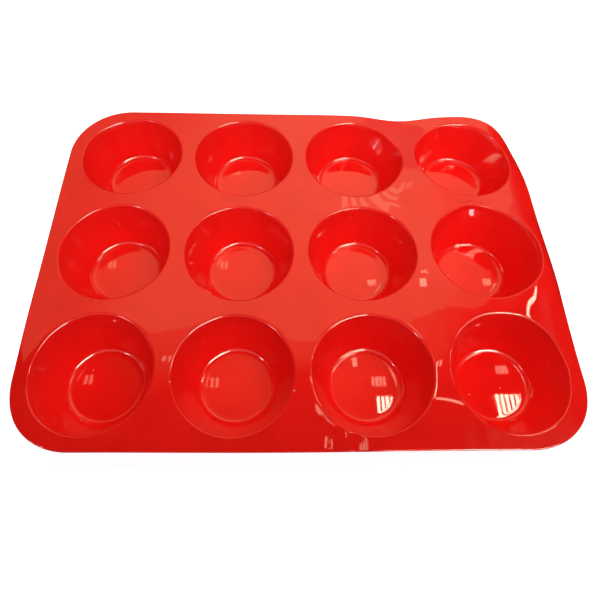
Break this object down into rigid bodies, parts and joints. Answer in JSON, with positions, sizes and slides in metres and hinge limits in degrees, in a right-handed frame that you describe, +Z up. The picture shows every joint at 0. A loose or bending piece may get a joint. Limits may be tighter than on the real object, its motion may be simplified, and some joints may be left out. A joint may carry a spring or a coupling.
{
  "type": "silicone muffin pan",
  "caption": "Flexible silicone muffin pan: a flat deck with rounded corners and a grid of round tapered cups, used to bake muffins and cupcakes.",
  "frame": {"origin": "on the surface the pan stands on, under the middle of the deck", "axes": "+X along the deck's long side, +Y towards the back row, +Z up out of the cups' mouths"},
  "size_m": [0.33, 0.246, 0.03],
  "materials": {
    "red_silicone": "glossy moulded silicone, slightly translucent"
  },
  "bodies": {
    "root": {"deck": "red_silicone", "cup_front_1": "red_silicone", "cup_front_2": "red_silicone", "cup_front_3": "red_silicone", "cup_front_4": "red_silicone", "cup_middle_1": "red_silicone", "cup_middle_2": "red_silicone", "cup_middle_3": "red_silicone", "cup_middle_4": "red_silicone", "cup_back_1": "red_silicone", "cup_back_2": "red_silicone", "cup_back_3": "red_silicone", "cup_back_4": "red_silicone"}
  },
  "joints": []
}
